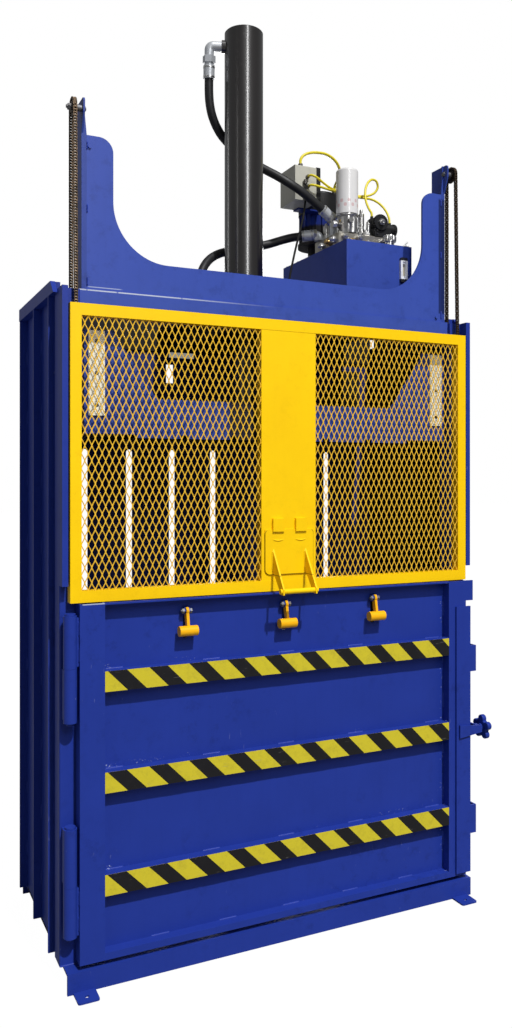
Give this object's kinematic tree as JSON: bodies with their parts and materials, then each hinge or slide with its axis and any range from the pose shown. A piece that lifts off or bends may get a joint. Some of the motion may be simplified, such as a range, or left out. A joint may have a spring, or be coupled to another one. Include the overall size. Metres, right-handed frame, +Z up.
{
  "type": "recycling baler",
  "caption": "Vertical cardboard and plastics baler: blue welded frame, yellow mesh lift gate, striped hinged door, hydraulic cylinder and roof power unit.",
  "frame": {"origin": "On the floor, at the centre of the rectangle of the four anchor bolt holes", "axes": "+Z up; the door and gate face -Y; +X to the right of someone facing the door"},
  "size_m": [1.757, 0.93, 3.523],
  "materials": {
    "blue_paint": "gloss enamel, worn at the edges",
    "yellow_paint": "gloss enamel",
    "mesh_paint": "gloss enamel",
    "tape_yellow": "satin film",
    "tape_black": "satin film",
    "black_gloss": "high gloss enamel",
    "black_part": "satin",
    "zinc_steel": "zinc plated",
    "fitting_black": "satin black",
    "chain_steel": "oiled",
    "plain_steel": "machined",
    "chrome_rod": "hard chrome",
    "hose_rubber": "wrapped cover",
    "cable_yellow": "satin sheath",
    "box_grey": "satin enamel",
    "filter_white": "gloss enamel",
    "valve_metal": "machined",
    "wear_strip": "matte"
  },
  "bodies": {
    "frame": {"base_sills": "blue_paint", "floor": "blue_paint", "left_front_post": "blue_paint", "right_front_post": "blue_paint", "left_side_wall": "blue_paint", "right_side_wall": "blue_paint", "back_wall": "blue_paint", "crosshead_front": "blue_paint", "roof_frame": "blue_paint", "chain_towers": "blue_paint", "cylinder_barrel": "black_gloss", "cylinder_bolts": "zinc_steel", "cylinder_cap": "black_gloss", "cylinder_gland": "plain_steel", "port_fittings": "fitting_black", "upper_hose": "hose_rubber", "lower_hose": "hose_rubber", "hose_fittings": "zinc_steel", "oil_tank": "blue_paint", "tank_lid": "blue_paint", "pump": "black_part", "level_gauge": "black_part", "motor": "blue_paint", "motor_fan_cover": "black_part", "junction_box": "box_grey", "junction_box_cover": "black_part", "valve_manifold": "valve_metal", "solenoid_valve": "black_part", "filter_head": "zinc_steel", "filter_canister": "filter_white", "breather_cap": "zinc_steel", "motor_cable": "cable_yellow", "solenoid_cables": "cable_yellow", "control_cable": "hose_rubber", "cable_glands": "zinc_steel", "hinge_pins": "zinc_steel", "sprocket_axles": "zinc_steel", "left_lift_chain": "chain_steel", "right_lift_chain": "chain_steel"},
    "door": {"door": "blue_paint", "hazard_tape": "tape_yellow", "hazard_stripes": "tape_black", "latch_bar": "blue_paint", "dog_bolts": "zinc_steel"},
    "latch_knob": {"latch_knob": "black_part"},
    "left_retainer_dog": {"left_retainer_dog": "yellow_paint"},
    "centre_retainer_dog": {"centre_retainer_dog": "yellow_paint"},
    "right_retainer_dog": {"right_retainer_dog": "yellow_paint"},
    "gate": {"gate_frame": "yellow_paint", "gate_mesh": "mesh_paint", "gate_panel": "yellow_paint"},
    "left_counterweight": {"left_counterweight": "plain_steel"},
    "right_counterweight": {"right_counterweight": "plain_steel"},
    "left_sprocket": {"left_sprocket": "chain_steel"},
    "right_sprocket": {"right_sprocket": "chain_steel"},
    "press": {"platen": "blue_paint", "platen_wear_strips": "wear_strip", "rod_pin": "zinc_steel", "piston_rod": "chrome_rod", "piston": "plain_steel"}
  },
  "joints": [
    {"name": "door_swing", "type": "hinge", "parent": "frame", "child": "door", "pos_m": [-0.811, -0.373, 0.7], "axis": [0, 0, -1], "range_deg": [0, 180]},
    {"name": "latch_knob_turn", "type": "hinge", "parent": "door", "child": "latch_knob", "pos_m": [0.893, -0.385, 0.674], "axis": [1, 0, 0], "range_deg": [-1080, 1080]},
    {"name": "left_dog_tilt", "type": "hinge", "parent": "door", "child": "left_retainer_dog", "pos_m": [-0.4, -0.372, 1.233], "axis": [-1, 0, 0], "range_deg": [0, 60]},
    {"name": "centre_dog_tilt", "type": "hinge", "parent": "door", "child": "centre_retainer_dog", "pos_m": [-0.01, -0.372, 1.233], "axis": [-1, 0, 0], "range_deg": [0, 60]},
    {"name": "right_dog_tilt", "type": "hinge", "parent": "door", "child": "right_retainer_dog", "pos_m": [0.377, -0.372, 1.233], "axis": [-1, 0, 0], "range_deg": [0, 60]},
    {"name": "gate_lift", "type": "slide", "parent": "frame", "child": "gate", "axis": [0, 0, 1], "range_m": [0, 0.56], "deforming": ["left_lift_chain", "right_lift_chain"]},
    {"name": "left_counterweight_fall", "type": "slide", "parent": "frame", "child": "left_counterweight", "axis": [0, 0, -1], "range_m": [0, 0.56]},
    {"name": "left_sprocket_spin", "type": "hinge", "parent": "frame", "child": "left_sprocket", "pos_m": [-0.788, -0.316, 2.95], "axis": [-1, 0, 0], "continuous": true},
    {"name": "right_counterweight_fall", "type": "slide", "parent": "frame", "child": "right_counterweight", "axis": [0, 0, -1], "range_m": [0, 0.56]},
    {"name": "right_sprocket_spin", "type": "hinge", "parent": "frame", "child": "right_sprocket", "pos_m": [0.788, -0.316, 2.95], "axis": [-1, 0, 0], "continuous": true},
    {"name": "platen_press", "type": "slide", "parent": "frame", "child": "press", "axis": [0, 0, -1], "range_m": [0, 0.92]}
  ],
  "couplings": [
    {"joint": "left_counterweight_fall", "follows": "gate_lift", "ratio": 1},
    {"joint": "left_sprocket_spin", "follows": "gate_lift", "rad_per_m": 34.56},
    {"joint": "right_counterweight_fall", "follows": "gate_lift", "ratio": 1},
    {"joint": "right_sprocket_spin", "follows": "gate_lift", "rad_per_m": 34.56}
  ]
}
